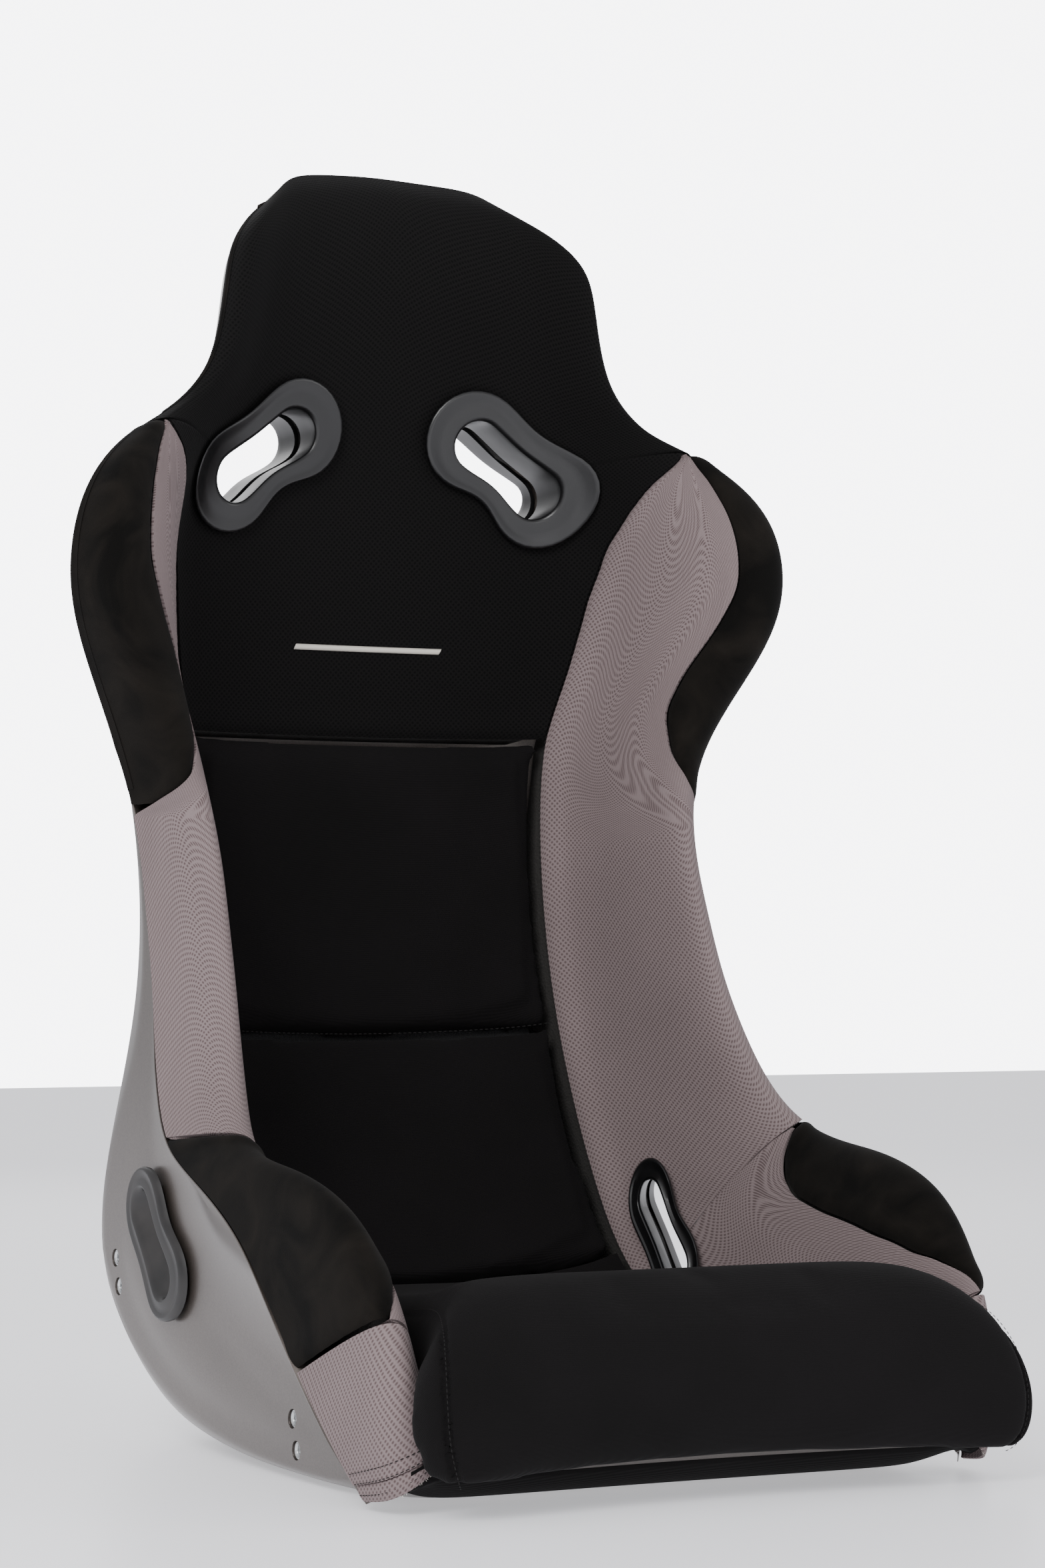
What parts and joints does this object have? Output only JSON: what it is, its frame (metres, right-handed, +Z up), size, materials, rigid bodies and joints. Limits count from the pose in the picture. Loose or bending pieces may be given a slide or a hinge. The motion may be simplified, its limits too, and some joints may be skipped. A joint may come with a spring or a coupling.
{
  "type": "racing seat",
  "caption": "Fixed-back bucket racing seat with a moulded shell, deep side bolsters, harness slots and removable seat and lumbar cushions.",
  "frame": {"origin": "centre of the bounding box's base, on the surface the seat stands on", "axes": "+Z up, the occupant faces -Y, +X is the occupant's left"},
  "size_m": [0.5712, 0.6188, 0.9248],
  "materials": {
    "laminate": "satin metallic grey gel coat over glass fibre",
    "steel": "zinc plated",
    "foam": "open cell foam, hidden",
    "black_mesh": "coarse air mesh knit",
    "grey_mesh": "coarse air mesh knit",
    "suede": "napped microfibre suede",
    "pad_cloth": "plain matt cloth",
    "webbing": "backing cloth, hook strip and hem tape",
    "plastic": "satin black moulded"
  },
  "bodies": {
    "seat": {"shell": "laminate", "mount_plate_front_left": "steel", "mount_plate_front_right": "steel", "mount_plate_rear_left": "steel", "mount_plate_rear_right": "steel", "mount_insert_front_lower_left": "steel", "mount_insert_front_lower_right": "steel", "mount_insert_front_upper_left": "steel", "mount_insert_front_upper_right": "steel", "mount_insert_rear_lower_left": "steel", "mount_insert_rear_lower_right": "steel", "mount_insert_rear_upper_left": "steel", "mount_insert_rear_upper_right": "steel", "pan_foam": "foam", "back_base_foam": "foam", "back_foam": "foam", "side_foam_left": "foam", "side_foam_right": "foam", "upper_cover": "black_mesh", "side_cover_left": "grey_mesh", "side_cover_right": "grey_mesh", "thigh_patch_left": "suede", "thigh_patch_right": "suede", "shoulder_patch_left": "suede", "shoulder_patch_right": "suede", "pan_cover": "pad_cloth", "hem_tape_left": "webbing", "hem_tape_right": "webbing", "pan_hook_strip": "webbing", "back_hook_strip": "webbing", "shoulder_bezel_front_left": "plastic", "shoulder_bezel_front_right": "plastic", "shoulder_bezel_rear_left": "plastic", "shoulder_bezel_rear_right": "plastic", "lap_bezel_inner_left": "plastic", "lap_bezel_inner_right": "plastic", "lap_bezel_outer_left": "plastic", "lap_bezel_outer_right": "plastic"},
    "seat_cushion": {"seat_cushion_cover": "pad_cloth", "seat_cushion_gusset_left": "pad_cloth", "seat_cushion_gusset_right": "pad_cloth", "seat_cushion_foam": "foam", "seat_cushion_base": "webbing"},
    "lumbar_pad": {"lumbar_pad_upper": "pad_cloth", "lumbar_pad_lower": "pad_cloth", "lumbar_backing": "webbing"}
  },
  "joints": [
    {"name": "seat_cushion_lift", "type": "slide", "parent": "seat", "child": "seat_cushion", "axis": [0, -0.867, 0.4983], "range_m": [0, 0.48]},
    {"name": "lumbar_pad_lift", "type": "slide", "parent": "seat", "child": "lumbar_pad", "axis": [0, -0.9743, 0.2251], "range_m": [0, 0.4]}
  ]
}
